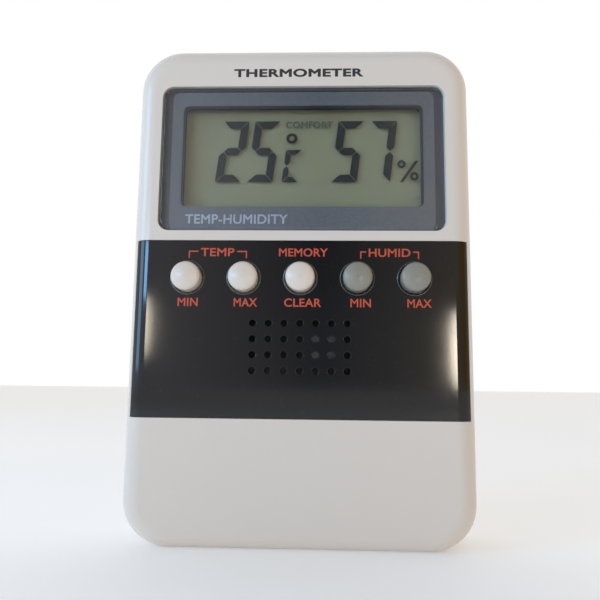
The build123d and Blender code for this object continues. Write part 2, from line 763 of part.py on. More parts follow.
def add_rear_walls():
    """What stands inside the rear shell: door rim, groove backing, battery box, posts and hook room."""
    rim_out = DOOR_GAP + RIM_W
    with BuildSketch(at_y(REAR_IN_Y)) as rim:
        panel_outline(DOOR_W + 2 * rim_out, DOOR_LOW_Z - rim_out, DOOR_TOP_Z + rim_out, DOOR_R)
    extrude(rim.sketch, amount=REAR_IN_Y - RIM_Y)
    with BuildSketch(at_y(REAR_IN_Y)) as backing:
        outline(WALL - LIP_GAP)
        with Locations((0, BAIL_LOW_Z + GROOVE_RIB_W)):
            Rectangle(
                2 * (BAIL_X - GROOVE_RIB_W), HEIGHT, align=(Align.CENTER, Align.MIN), mode=Mode.SUBTRACT
            )
        with Locations((0, BAIL_Z + GROOVE_RIB_W)):
            Rectangle(WIDTH, HEIGHT, align=(Align.CENTER, Align.MIN), mode=Mode.SUBTRACT)
    extrude(backing.sketch, amount=REAR_IN_Y - GROOVE_BACK_Y)
    slab(BAY_FLOOR_Y - BAY_WALL, REAR_IN_Y, BAY_W + 2 * BAY_WALL, BAY_H + 2 * BAY_WALL, 0, CELL_Z)
    rods(CASE_SCREWS, POST_R, BOSS_MEET_Y + POST_GAP, REAR_IN_Y)
    with BuildSketch(at_y(REAR_IN_Y)) as hook_box:
        keyhole_room(KEYHOLE_WALL)
    extrude(hook_box.sketch, amount=REAR_IN_Y - KEYHOLE_ROOM_Y + KEYHOLE_WALL)


def cut_battery_bay():
    """The cell's box, the door's seat, its hook pockets and the slots for the contacts' tabs."""
    slab(BAY_FLOOR_Y, BACK_Y, BAY_W, BAY_H, 0, CELL_Z, Mode.SUBTRACT)
    with BuildSketch(at_y(BACK_Y)) as seat:
        panel_outline(
            DOOR_W + 2 * DOOR_GAP, DOOR_LOW_Z - DOOR_GAP, DOOR_TOP_Z + DOOR_GAP, DOOR_R + DOOR_GAP
        )
    extrude(seat.sketch, amount=DOOR_T, mode=Mode.SUBTRACT)
    for x in HOOKS_X:
        reach = HOOK_W / 2 + HOOK_GAP
        plate(
            x - reach, x + reach, DOOR_IN_Y - HOOK_T - HOOK_ROOM, DOOR_IN_Y + LIP_GAP,
            DOOR_TOP_Z - HOOK_ROOT - 2 * HOOK_GAP, DOOR_TOP_Z + HOOK_REACH + HOOK_ROOM, Mode.SUBTRACT,
        )
    for side in (-1, 1):
        plate(
            side * BAY_W / 2, side * (BAY_W / 2 - CONTACT_T - CONTACT_GAP),
            CELL_Y - TAB_HALF - CONTACT_GAP, CELL_Y + TAB_HALF + CONTACT_GAP,
            BAY_TOP_Z, BAY_TOP_Z + BAY_WALL, Mode.SUBTRACT,
        )


def cut_keyhole():
    """The hook's entry hole and slot, and the room behind them."""
    with BuildSketch(at_y(REAR_IN_Y)) as room:
        keyhole_room(0)
    extrude(room.sketch, amount=REAR_IN_Y - KEYHOLE_ROOM_Y, mode=Mode.SUBTRACT)
    with BuildSketch(at_y(BACK_Y)) as hole:
        with Locations((0, KEYHOLE_Z)):
            Circle(KEYHOLE_R)
        with Locations((0, KEYHOLE_Z + KEYHOLE_RISE / 2)):
            SlotCenterToCenter(KEYHOLE_RISE, 2 * KEYHOLE_SLOT_R, rotation=90)
    extrude(hole.sketch, amount=WALL, mode=Mode.SUBTRACT)


def cut_stand_groove():
    """The U that the stand folds into, a finger scoop at its foot and the two pivot holes."""
    with BuildSketch(at_y(BACK_Y)) as groove:
        with BuildLine():
            FilletPolyline(
                (-BAIL_X, GROOVE_TOP_Z), (-BAIL_X, BAIL_LOW_Z),
                (BAIL_X, BAIL_LOW_Z), (BAIL_X, GROOVE_TOP_Z),
                radius=BAIL_CORNER_R,
            )
        trace(line_width=GROOVE_W)
        with Locations((0, SCOOP_Z)):
            SlotOverall(SCOOP_W, SCOOP_H)
    extrude(groove.sketch, amount=GROOVE_D, mode=Mode.SUBTRACT)
    pin_x, pin_l = span(BAIL_X, BAIL_PIN_X + BAIL_PIN_GAP)
    for side in (-1, 1):
        with Locations((side * pin_x, BAIL_Y, BAIL_Z)):
            Cylinder(BAIL_HOLE_R, pin_l, rotation=(0, 90, 0), mode=Mode.SUBTRACT)


def cut_switch_slot():
    """The slot for the unit slider, in a shallow dish."""
    with BuildSketch(at_y(BACK_Y)) as dish:
        with Locations((SWITCH_MID_X, SWITCH_Z)):
            RectangleRounded(SWITCH_DISH_W, SWITCH_DISH_H, SWITCH_DISH_R)
    extrude(dish.sketch, amount=SWITCH_DISH_D, mode=Mode.SUBTRACT)
    slot_w = KNOB_W + SWITCH_TRAVEL + 2 * KNOB_GAP
    slab(REAR_IN_Y, BACK_Y, slot_w, KNOB_H + 2 * KNOB_GAP, SWITCH_MID_X, SWITCH_Z, Mode.SUBTRACT)


def make_rear_case():
    cavity = rear_cavity()
    with BuildPart() as case:
        with BuildSketch(at_y(BACK_Y)):
            outline(0)
        extrude(amount=BACK_Y - PARTING_Y)
        fillet(case.faces().sort_by(Axis.Y)[-1].edges(), REAR_EDGE_R)
        chamfer(case.faces().sort_by(Axis.Y)[0].edges(), SEAM_BEVEL)
        add(cavity.part, mode=Mode.SUBTRACT)
        # lip that fits inside the front shell
        with BuildSketch(at_y(PARTING_Y)):
            outline(WALL / 2 + LIP_GAP)
            outline(WALL, Mode.SUBTRACT)
        extrude(amount=LIP_H - LIP_GAP)
        add_rear_walls()
        cut_battery_bay()
        rods(CASE_SCREWS, CASE_SCREW_HOLE_R, BOSS_MEET_Y, BACK_Y, Mode.SUBTRACT)
        rods(CASE_SCREWS, COUNTERBORE_R, CASE_HEAD_SEAT_Y, BACK_Y, Mode.SUBTRACT)
        cut_keyhole()
        cut_stand_groove()
        cut_switch_slot()
    return case


def make_battery_door():
    with BuildPart() as door:
        with BuildSketch(at_y(BACK_Y)):
            panel_outline(DOOR_W, DOOR_LOW_Z, DOOR_TOP_Z, DOOR_R)
        extrude(amount=DOOR_T)
        # hooks along the top edge and the latch tongue at the bottom
        for x in HOOKS_X:
            plate(
                x - HOOK_W / 2, x + HOOK_W / 2, DOOR_IN_Y - HOOK_T, DOOR_IN_Y,
                DOOR_TOP_Z - HOOK_ROOT, DOOR_TOP_Z + HOOK_REACH,
            )
        plate(
            -LATCH_HALF_W, LATCH_HALF_W, DOOR_IN_Y - LATCH_REACH, DOOR_IN_Y,
            LATCH_LOW_Z, LATCH_LOW_Z + LATCH_T,
        )
        # finger dish with grip ribs
        with BuildSketch(at_y(BACK_Y)):
            with Locations((0, DISH_Z)):
                SlotOverall(DISH_W, DISH_H)
        extrude(amount=DISH_DEPTH, mode=Mode.SUBTRACT)
        floor_y = BACK_Y - DISH_DEPTH
        for step in (-1, 0, 1):
            slab(floor_y, floor_y + GRIP_H, 2 * GRIP_HALF_W, GRIP_T, 0, DISH_Z + step * GRIP_PITCH)
    return door


def make_battery():
    """An AAA cell lying along X, its raised terminal to the right."""
    with BuildPart() as cell:
        with Locations((CELL_X0 + CELL_L / 2, CELL_Y, CELL_Z)):
            Cylinder(CELL_R, CELL_L, rotation=(0, 90, 0))
        fillet(cell.edges().filter_by(GeomType.CIRCLE), CELL_EDGE_R)
        with Locations((NUB_X - NUB_L / 2, CELL_Y, CELL_Z)):
            Cylinder(NUB_R, NUB_L, rotation=(0, 90, 0))
        fillet(cell.edges().filter_by(GeomType.CIRCLE).sort_by(Axis.X)[-1], NUB_EDGE_R)
    return cell


def contact_plate(side):
    """A contact plate against one end wall of the battery box, its solder tab up through the box."""
    outer = side * BAY_W / 2
    inner = outer - side * CONTACT_T
    plate(
        inner, outer, CELL_Y - CONTACT_HALF, CELL_Y + CONTACT_HALF,
        CELL_Z - CONTACT_HALF, CELL_Z + CONTACT_HALF,
    )
    plate(inner, outer, CELL_Y - TAB_HALF, CELL_Y + TAB_HALF, CELL_Z, TAB_TOP_Z)


def make_battery_contact():
    """The positive contact, with a pressed dimple that meets the cell's raised terminal."""
    dimple_x, dimple_l = span(NUB_X, BAY_W / 2 - CONTACT_T)
    with BuildPart() as contact:
        contact_plate(1)
        with Locations((dimple_x, CELL_Y, CELL_Z)):
            Cylinder(DIMPLE_R, dimple_l, rotation=(0, 90, 0))
    return contact


def make_battery_spring():
    """The negative contact, with a tapering coil pressed by the cell."""
    start = SPRING_WIRE_R * 0.8 + CONTACT_T - BAY_W / 2
    length = CELL_X0 - start - SPRING_WIRE_R
    with BuildPart() as spring:
        contact_plate(-1)
        with BuildLine():
            coil = Helix(
                length / SPRING_TURNS, length, SPRING_R, center=(start, CELL_Y, CELL_Z),
                direction=(1, 0, 0), cone_angle=-SPRING_TAPER,
            )
        with BuildSketch(Plane(origin=coil @ 0, z_dir=coil % 0)) as section:
            Circle(SPRING_WIRE_R)
        sweep(section.sketch, path=coil, is_frenet=True)
    return spring


def make_battery_wire(side):
    """An insulated wire from a contact's solder tab, round the screw post, to the back of the board."""
    tab_x = BAY_W / 2 - CONTACT_T - WIRE_R
    clear_x = CASE_SCREWS[1][0] + POST_R + WIRE_R + WIRE_POST_GAP
    route = [
        (side * tab_x, CELL_Y, TAB_TOP_Z - 1.2),
        (side * tab_x, CELL_Y, TAB_TOP_Z + 1.2),
        (side * clear_x, CELL_Y, TAB_TOP_Z + 3.4),
        (side * clear_x, CELL_Y - 0.3, TAB_TOP_Z + 9.6),
        (side * (clear_x - 1.5), BOARD_REAR_Y + 0.9, TAB_TOP_Z + 13.2),
        (side * (clear_x - 4.3), BOARD_REAR_Y + WIRE_R, TAB_TOP_Z + 15.2),
    ]
    with BuildPart() as wire:
        with BuildLine():
            line = FilletPolyline(*route, radius=WIRE_BEND_R)
        with BuildSketch(Plane(origin=line @ 0, z_dir=line % 0)):
            Circle(WIRE_R)
        sweep()
    return wire


def make_stand_bail():
    route = [
        (-BAIL_PIN_X, BAIL_Y, BAIL_Z),
        (-BAIL_X, BAIL_Y, BAIL_Z),
        (-BAIL_X, BAIL_Y, BAIL_LOW_Z),
        (BAIL_X, BAIL_Y, BAIL_LOW_Z),
        (BAIL_X, BAIL_Y, BAIL_Z),
        (BAIL_PIN_X, BAIL_Y, BAIL_Z),
    ]
    radii = [BAIL_ELBOW_R, BAIL_CORNER_R, BAIL_CORNER_R, BAIL_ELBOW_R]
    with BuildPart() as bail:
        with BuildLine():
            wire = FilletPolyline(*route, radius=radii)
        with BuildSketch(Plane(origin=wire @ 0, z_dir=wire % 0)):
            Circle(BAIL_WIRE_R)
        sweep()
    return bail


def main():
    pieces = {
        "front_case": make_front_case(),
        "band_panel": make_band_panel(),
        "lens": make_lens(),
        "lens_tape": make_lens_tape(),
        "lens_mask": make_lens_mask(),
        "lcd_gasket": make_lcd_gasket(),
        "lcd_front_polarizer": display_sheet(DISPLAY_Y, FILM_T, GLASS_LOW_Z, FILM_INSET),
        "lcd_front_glass": display_sheet(FRONT_GLASS_Y, GLASS_T, GLASS_LEDGE_Z, 0),
        "lcd_rear_glass": display_sheet(REAR_GLASS_Y, GLASS_T, GLASS_LOW_Z, 0),
        "lcd_reflector": display_sheet(REFLECTOR_Y, FILM_T, GLASS_LOW_Z, FILM_INSET),
        "lcd_holder": make_lcd_holder(),
        "zebra_strip": make_zebra_strip(),
        "main_board": make_main_board(),
        "rubber_keypad": make_rubber_keypad(),
        "board_screws": screws(
            BOARD_SCREWS, BOARD_SCREW_TIP_Y, BOARD_REAR_Y, BOARD_SCREW_R, BOARD_HEAD_R, BOARD_HEAD_T
        ),
        "controller_blob": make_controller_blob(),
        "crystal": make_crystal(),
        "chip_capacitors": chips(CAPACITOR_CHIPS, CAPACITOR_CHIP_H),
        "chip_resistors": chips(RESISTOR_CHIPS, RESISTOR_CHIP_H),
        "filter_capacitor": make_filter_capacitor(),
        "thermistor": make_thermistor(),
        "humidity_sensor": make_humidity_sensor(),
        "switch_body": make_switch_body(),
        "unit_switch": make_unit_switch(),
        "rear_case": make_rear_case(),
        "case_screws": screws(
            CASE_SCREWS, CASE_SCREW_TIP_Y, CASE_HEAD_SEAT_Y, CASE_SCREW_R, CASE_HEAD_R, CASE_HEAD_T
        ),
        "battery_door": make_battery_door(),
        "battery": make_battery(),
        "battery_contact": make_battery_contact(),
        "battery_spring": make_battery_spring(),
        "battery_wire_positive": make_battery_wire(1),
        "battery_wire_negative": make_battery_wire(-1),
        "stand_bail": make_stand_bail(),
    }
    for name, x in zip(BUTTON_NAMES, BUTTON_XS):
        pieces[f"button_{name}"] = make_button(x)
        pieces[f"carbon_pill_{name}"] = make_carbon_pill(x)
    os.makedirs("parts", exist_ok=True)
    for name, piece in pieces.items():
        piece.part.label = name
        export_step(piece.part, f"parts/{name}.step")


main()
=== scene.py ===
"""The looks of a hand-held maximum-minimum thermometer and humidity meter.

The CAD nodes keep their meshes and get moulded, printed, glass and metal materials. Printed legends,
the display's segments, thin dark metal skins on the button holes' rims as a painted glint, and the
moulded marks on the back are extra pieces. Lengths are in metres.
"""

import json
import math

import bpy
from mathutils import Matrix, Vector


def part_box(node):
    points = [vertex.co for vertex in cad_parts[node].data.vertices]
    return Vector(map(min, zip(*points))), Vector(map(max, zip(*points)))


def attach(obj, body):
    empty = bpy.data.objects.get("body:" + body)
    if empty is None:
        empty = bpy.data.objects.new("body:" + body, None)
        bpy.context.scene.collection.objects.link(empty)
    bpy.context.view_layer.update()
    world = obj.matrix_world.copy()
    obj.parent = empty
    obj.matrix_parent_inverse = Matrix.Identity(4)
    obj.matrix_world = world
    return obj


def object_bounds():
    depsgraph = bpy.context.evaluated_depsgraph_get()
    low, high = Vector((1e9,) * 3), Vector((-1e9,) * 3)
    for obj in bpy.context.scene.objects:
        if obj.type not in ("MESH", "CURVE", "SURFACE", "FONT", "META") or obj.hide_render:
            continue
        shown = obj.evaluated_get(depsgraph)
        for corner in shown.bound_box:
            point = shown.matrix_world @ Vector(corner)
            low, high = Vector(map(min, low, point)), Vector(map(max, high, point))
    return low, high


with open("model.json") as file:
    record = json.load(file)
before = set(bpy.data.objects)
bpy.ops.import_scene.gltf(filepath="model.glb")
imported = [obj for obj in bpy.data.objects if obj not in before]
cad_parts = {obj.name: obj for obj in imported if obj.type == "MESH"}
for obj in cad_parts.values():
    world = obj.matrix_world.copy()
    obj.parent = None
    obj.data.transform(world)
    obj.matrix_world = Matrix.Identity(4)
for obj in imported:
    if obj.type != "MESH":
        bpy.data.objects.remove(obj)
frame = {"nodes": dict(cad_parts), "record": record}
cad_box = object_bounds()
MM = 0.001
NODES = frame["nodes"]

# The middle of the object, and the faces that prints and marks lie on, as depths along Y
MIDDLE = (Vector(cad_box[0]) + Vector(cad_box[1])) / 2
BAND_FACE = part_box("band_panel")[0][1]
CASE_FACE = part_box("front_case")[0][1]
MASK_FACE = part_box("lens_mask")[0][1]
FRONT_GLASS_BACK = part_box("lcd_front_glass")[1][1]
REAR_GLASS_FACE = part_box("lcd_rear_glass")[0][1]
BACK_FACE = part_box("rear_case")[1][1]

# How thick the prints are; the one on the mask stops just short of it
INK = 0.02 * MM
MASK_INK = 0.015 * MM

# Camera: a hand-held close-up, a little below and to the right of the middle
CAMERA_AT = Vector((4.7, -138.3, 33.0)) * MM
CAMERA_AIM = Vector((0.0, -9.5, 50.8)) * MM
CAMERA_ROLL = math.radians(0.69)
CAMERA_LENS = 37.2
CAMERA_SENSOR = 36
CAMERA_NEAR = 0.01

# Legends on the band: heights and letter height, then words with their middles and widths in millimetres
UPPER_WORD_Z = 61.0 * MM
LOWER_WORD_Z = 50.25 * MM
LETTER_H = 1.8 * MM
UPPER_WORDS = (("TEMP", -17.7, 7.2), ("MEMORY", 0.6, 10.4), ("HUMID", 18.8, 8.8))
LOWER_WORDS = (
    ("MIN", -23.75, 4.3),
    ("MAX", -11.5, 5.0),
    ("CLEAR", 0.55, 7.8),
    ("MIN", 12.7, 4.3),
    ("MAX", 24.95, 5.1),
)
# Brackets in millimetres: the outer ends of a pair, then the middle and width of the word between them
BRACKET_GROUPS = ((-23.9, -11.4, -17.7, 7.2), (12.6, 25.0, 18.8, 8.8))
BRACKET_GAP = 0.55
BRACKET_TOP_Z = 61.3 * MM
BRACKET_DROP = 1.6 * MM
STROKE = 0.28 * MM

# The other words: text, middle as (x, z), width, height and how heavy the letters are
TITLE = ("THERMOMETER", (-0.9 * MM, 101.5 * MM), 28.6 * MM, 1.95 * MM, 0.04)
WINDOW_WORDS = ("TEMP-HUMIDITY", (-14.1 * MM, 68.65 * MM), 22.4 * MM, 2.1 * MM, 0.02)
COMFORT_WORD = ("COMFORT", (1.5 * MM, 91.1 * MM), 10.6 * MM, 1.75 * MM, 0.045)
LEGEND_WEIGHT = 0.02
MARK_WEIGHT = 0.03

# Rounded rims of the button holes, skinned in dark metal for a painted glint: the radii are the panel's own
BUTTONS = ("temp_min", "temp_max", "clear", "humidity_min", "humidity_max")
HOLE_R = 3.3 * MM
RIM_ROUND = 0.35 * MM
RIM_SKIN = 0.02 * MM
RIM_STEPS = 8
RIM_SIDES = 72

# Moulded marks on the back: unit letters by the slider, an arrow on the battery door, polarity inside it
MARK_PROUD = 0.15 * MM
MARK_ROOT = 0.05 * MM
UNIT_MARK_H = 2.2 * MM
UNIT_MARK_W = 1.4 * UNIT_MARK_H
UNIT_MARK_RISE = 3.6 * MM
UNIT_MARK_APART = 2.8 * MM
DOOR_T = 1.6 * MM
ARROW_RISE = 10.0 * MM
ARROW_SIZE = 1.5 * MM
ARROW_H = 1.2 * ARROW_SIZE
POLE_INSET = 9.0 * MM
POLE_HALF = 1.3 * MM
POLE_STROKE = 0.5 * MM

# Display: seven-segment figures that lean to the right, and the small C of the temperature's unit
DIGIT_BASE_Z = 77.75 * MM
DIGIT_H = 14.2 * MM
DIGIT_W = 5.8 * MM
SEGMENT_T = 1.75 * MM
UNIT_X = -4.6 * MM
UNIT_H = 7.5 * MM
UNIT_W = 3.6 * MM
UNIT_T = 1.25 * MM
SEGMENT_GAP = 0.09 * MM
SEGMENT_SHEET = 0.01 * MM
LEAN = math.tan(math.radians(7))
FIGURE_BARS = {"2": "abged", "5": "afgcd", "7": "abc", "C": "afed"}
# In millimetres: each figure and its left edge, rings as middle and two radii, the bar's corners
READOUT = (("2", -19.5), ("5", -12.4), ("5", 6.3), ("7", 13.65))
DEGREE = (-2.4, 87.9, 1.25, 0.55)
PERCENT_RINGS = ((22.0, 81.9, 0.95, 0.4), (24.8, 79.1, 0.95, 0.4))
PERCENT_BAR = ((21.6, 77.8), (25.0, 82.7), (25.75, 82.7), (22.35, 77.8))

# Noise, in features per metre
MOTTLE = 30
SMEAR = 120
SMUDGE = 160
HAZE = 300
SCUFF = 400
BRUSH = 900
PEEL = 1500
PATCH = 1800
SPECK = 2600
INK_GRAIN = 6000
FLECK = 7000

# The cell's wrapper: the copper sleeve and the bare ends, measured from its two ends
SLEEVE = 13 * MM
SLEEVE_EDGE = 0.1 * MM
RAISED_END = 1.1 * MM
FLAT_END = 0.4 * MM
WRAPPER_DARK = (0.02, 0.022, 0.026)
WRAPPER_COPPER = (0.45, 0.2, 0.08)
BARE_END = (0.6, 0.6, 0.58)

# Dust, and the board
DUST = (0.5, 0.48, 0.45)
SOLDER_MASK = (0.012, 0.07, 0.035)
SOLDER_MASK_THIN = (0.015, 0.085, 0.04)
COPPER_UNDER_MASK = (0.03, 0.14, 0.06)

# Lamps: name, bearing left of the front and height in degrees, width and height, radiance, shape
LAMP_AWAY = 0.7
LAMPS = (
    ("window", 62, 15, (0.26, 0.38), (1.5, 2.9, 4.3), "RECTANGLE"),
    ("window_pane", 34, 10.2, (0.17, 0.075), (4.0, 9.0, 16.0), "RECTANGLE"),
    ("lamp_left", 18.7, 4.3, (0.012, 0.08), (24.0, 21.5, 17.0), "ELLIPSE"),
    ("lamp_right", -14.7, 2.2, (0.014, 0.1), (34.0, 30.0, 24.0), "ELLIPSE"),
)

# The room's light by direction
ROOM_LEFT = (0.86, 0.98, 1.2)
ROOM_RIGHT = (0.64, 0.38, 0.06)
ROOM_ABOVE = (0.36, 0.35, 0.34)
ROOM_BEHIND = (0.95, 0.95, 0.95)
VIEWER_LOW = (0.25, 0.26, 0.29)
VIEWER_HIGH = (0.08, 0.08, 0.09)
BACKDROP = (1.0, 1.0, 1.0)

# How many clear surfaces a ray may cross: the lens and the display's sheets, in and out
CLEAR_LAYERS = 24

# The floor
FLOOR_SIZE = 12
FLOOR_PALE = (0.91, 0.91, 0.91)
FLOOR_SHADE = (0.89, 0.89, 0.89)
FLOOR_GLOW = 0.17
FLOOR_MOTTLE = 8


# ---------------------------------------------------------------- materials


def new_material(name, colour, roughness, metallic=0.0):
    """A Principled material and the parts that its recipe joins."""
    material = bpy.data.materials.new(name)
    material.use_nodes = True
    tree = material.node_tree
    shader = tree.nodes["Principled BSDF"]
    shader.inputs["Base Color"].default_value = (*colour, 1)
    shader.inputs["Roughness"].default_value = roughness
    shader.inputs["Metallic"].default_value = metallic
    return material, tree, shader


def object_noise(tree, scale, detail=3.0, stretch=(1, 1, 1)):
    """Noise fixed to the object, with features about 1 / scale metres across."""
    place = tree.nodes.new("ShaderNodeTexCoord")
    mapping = tree.nodes.new("ShaderNodeMapping")
    mapping.inputs["Scale"].default_value = stretch
    noise = tree.nodes.new("ShaderNodeTexNoise")
    noise.inputs["Scale"].default_value = scale
    noise.inputs["Detail"].default_value = detail
    tree.links.new(place.outputs["Object"], mapping.inputs["Vector"])
    tree.links.new(mapping.outputs["Vector"], noise.inputs["Vector"])
    return noise.outputs["Fac"]


def remap(tree, value, low, high, to_low, to_high):
    """Stretches value from low..high to to_low..to_high, clamped."""
    node = tree.nodes.new("ShaderNodeMapRange")
    node.inputs["From Min"].default_value = low
    node.inputs["From Max"].default_value = high
    node.inputs["To Min"].default_value = to_low
    node.inputs["To Max"].default_value = to_high
    tree.links.new(value, node.inputs["Value"])
    return node.outputs["Result"]


def blend_colours(tree, share, first, second):
    """Mixes two colours, or a socket and a colour, by a share from 0 to 1."""
    node = tree.nodes.new("ShaderNodeMix")
    node.data_type = "RGBA"
    tree.links.new(share, node.inputs["Factor"])
    for socket, value in ((node.inputs["A"], first), (node.inputs["B"], second)):
        if isinstance(value, tuple):
            socket.default_value = (*value, 1)
        else:
            tree.links.new(value, socket)
    return node.outputs["Result"]


def add_bump(tree, shader, height, strength, distance):
    """Gives a shader bumps of the given height, up to distance deep."""
    bump = tree.nodes.new("ShaderNodeBump")
    bump.inputs["Strength"].default_value = strength
    bump.inputs["Distance"].default_value = distance
    tree.links.new(height, bump.inputs["Height"])
    tree.links.new(bump.outputs["Normal"], shader.inputs["Normal"])


def moulded(name, colour, shade, roughness, grain=0.06, dust=0.0, dust_colour=DUST):
    """Moulded plastic: faint mottling, uneven gloss, orange-peel bump and specks of dust."""
    material, tree, shader = new_material(name, colour, roughness)
    mottle = remap(tree, object_noise(tree, MOTTLE), 0.1, 0.9, 0, 1)
    tint = blend_colours(tree, mottle, colour, shade)
    if dust:
        specks = remap(tree, object_noise(tree, SPECK, 1.0), 0.72, 0.78, 0, dust)
        tint = blend_colours(tree, specks, tint, dust_colour)
    tree.links.new(tint, shader.inputs["Base Color"])
    smudge = object_noise(tree, SMUDGE, 2.0)
    gloss = remap(tree, smudge, 0.1, 0.9, roughness * 0.85, roughness * 1.2)
    tree.links.new(gloss, shader.inputs["Roughness"])
    add_bump(tree, shader, object_noise(tree, PEEL, 2.0), grain, 0.05 * MM)
    return material


def printed(name, colour, roughness=0.45, gloss=0.5):
    """Screen-printed ink: slightly uneven in cover, with a soft sheen."""
    material, tree, shader = new_material(name, colour, roughness)
    shader.inputs["Specular IOR Level"].default_value = gloss
    worn = tuple(0.8 * part for part in colour)
    cover = remap(tree, object_noise(tree, PATCH, 2.0), 0.4, 0.7, 0, 1)
    tree.links.new(blend_colours(tree, cover, colour, worn), shader.inputs["Base Color"])
    add_bump(tree, shader, object_noise(tree, INK_GRAIN, 1.0), 0.1, 0.01 * MM)
    return material


def metal(name, colour, roughness, brushed=(1, 1, 1)):
    """Plated or drawn metal with an uneven gloss, stretched into fine lines where it is brushed."""
    material, tree, shader = new_material(name, colour, roughness, 1.0)
    lines = object_noise(tree, BRUSH, 3.0, brushed)
    low, high = roughness * 0.7, min(1.0, roughness * 1.5)
    tree.links.new(remap(tree, lines, 0.3, 0.7, low, high), shader.inputs["Roughness"])
    add_bump(tree, shader, lines, 0.08, 0.02 * MM)
    return material


def clear_plastic(name, tint, roughness, index):
    """Clear moulded plastic that lets the lamps light what lies behind it."""
    material, tree, shader = new_material(name, tint, roughness)
    shader.inputs["Transmission Weight"].default_value = 1.0
    shader.inputs["IOR"].default_value = index
    smears = remap(tree, object_noise(tree, SMEAR, 4.0), 0.45, 0.8, roughness, roughness + 0.03)
    tree.links.new(smears, shader.inputs["Roughness"])
    pane = tree.nodes.new("ShaderNodeBsdfTransparent")
    pane.inputs["Color"].default_value = (*tint, 1)
    rays = tree.nodes.new("ShaderNodeLightPath")
    mix = tree.nodes.new("ShaderNodeMixShader")
    output = tree.nodes["Material Output"]
    tree.links.new(rays.outputs["Is Shadow Ray"], mix.inputs["Fac"])
    tree.links.new(shader.outputs["BSDF"], mix.inputs[1])
    tree.links.new(pane.outputs["BSDF"], mix.inputs[2])
    tree.links.new(mix.outputs["Shader"], output.inputs["Surface"])
    return material


def thin_film(name, colour, alpha, roughness):
    """A thin sheet of the display stack, seen through, with a soft haze of its own."""
    material, tree, shader = new_material(name, colour, roughness)
    shader.inputs["Alpha"].default_value = alpha
    haze = object_noise(tree, HAZE, 3.0)
    spread = remap(tree, haze, 0.35, 0.65, roughness * 0.9, roughness * 1.1)
    tree.links.new(spread, shader.inputs["Roughness"])
    return material


def reflector(name):
    """The satin grey-green ground of the display, finely flecked."""
    dark, pale = (0.262, 0.243, 0.133), (0.288, 0.268, 0.15)
    material, tree, shader = new_material(name, dark, 0.5)
    shader.inputs["Specular IOR Level"].default_value = 0.2
    fleck = object_noise(tree, FLECK, 1.0)
    ground = blend_colours(tree, remap(tree, fleck, 0.35, 0.65, 0, 1), dark, pale)
    tree.links.new(ground, shader.inputs["Base Color"])
    add_bump(tree, shader, fleck, 0.1, 0.01 * MM)
    return material


def board_material(name):
    """Green solder mask over a faint pattern of copper."""
    material, tree, shader = new_material(name, SOLDER_MASK, 0.35)
    place = tree.nodes.new("ShaderNodeTexCoord")
    brick = tree.nodes.new("ShaderNodeTexBrick")
    brick.inputs["Scale"].default_value = 180
    brick.inputs["Mortar Size"].default_value = 0.03
    brick.inputs["Color1"].default_value = (*SOLDER_MASK, 1)
    brick.inputs["Color2"].default_value = (*SOLDER_MASK_THIN, 1)
    brick.inputs["Mortar"].default_value = (*COPPER_UNDER_MASK, 1)
    mapping = tree.nodes.new("ShaderNodeMapping")
    mapping.inputs["Rotation"].default_value = (math.pi / 2, 0, 0)
    tree.links.new(place.outputs["Object"], mapping.inputs["Vector"])
    tree.links.new(mapping.outputs["Vector"], brick.inputs["Vector"])
    tree.links.new(brick.outputs["Color"], shader.inputs["Base Color"])
    add_bump(tree, shader, brick.outputs["Fac"], 0.2, 0.03 * MM)
    return material


def cell_material(name):
    """The cell's wrapper: dark, with a copper-coloured sleeve at the raised end and bare metal ends."""
    low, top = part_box("battery")
    material, tree, shader = new_material(name, WRAPPER_DARK, 0.3)
    place = tree.nodes.new("ShaderNodeTexCoord")
    split = tree.nodes.new("ShaderNodeSeparateXYZ")
    tree.links.new(place.outputs["Object"], split.inputs["Vector"])
    along = split.outputs["X"]
    sleeve_x, raised_x, flat_x = top[0] - SLEEVE, top[0] - RAISED_END, low[0] + FLAT_END
    copper = remap(tree, along, sleeve_x, sleeve_x + SLEEVE_EDGE, 0, 1)
    tint = blend_colours(tree, copper, WRAPPER_DARK, WRAPPER_COPPER)
    raised_end = remap(tree, along, raised_x, raised_x + SLEEVE_EDGE, 0, 1)
    flat_end = remap(tree, along, flat_x, flat_x - SLEEVE_EDGE, 0, 1)
    ends = tree.nodes.new("ShaderNodeMath")
    ends.operation = "MAXIMUM"
    tree.links.new(raised_end, ends.inputs[0])
    tree.links.new(flat_end, ends.inputs[1])
    tint = blend_colours(tree, ends.outputs["Value"], tint, BARE_END)
    tree.links.new(tint, shader.inputs["Base Color"])
    tree.links.new(ends.outputs["Value"], shader.inputs["Metallic"])
    scuffs = remap(tree, object_noise(tree, SCUFF, 4.0), 0.35, 0.65, 0.22, 0.4)
    tree.links.new(scuffs, shader.inputs["Roughness"])
    return material


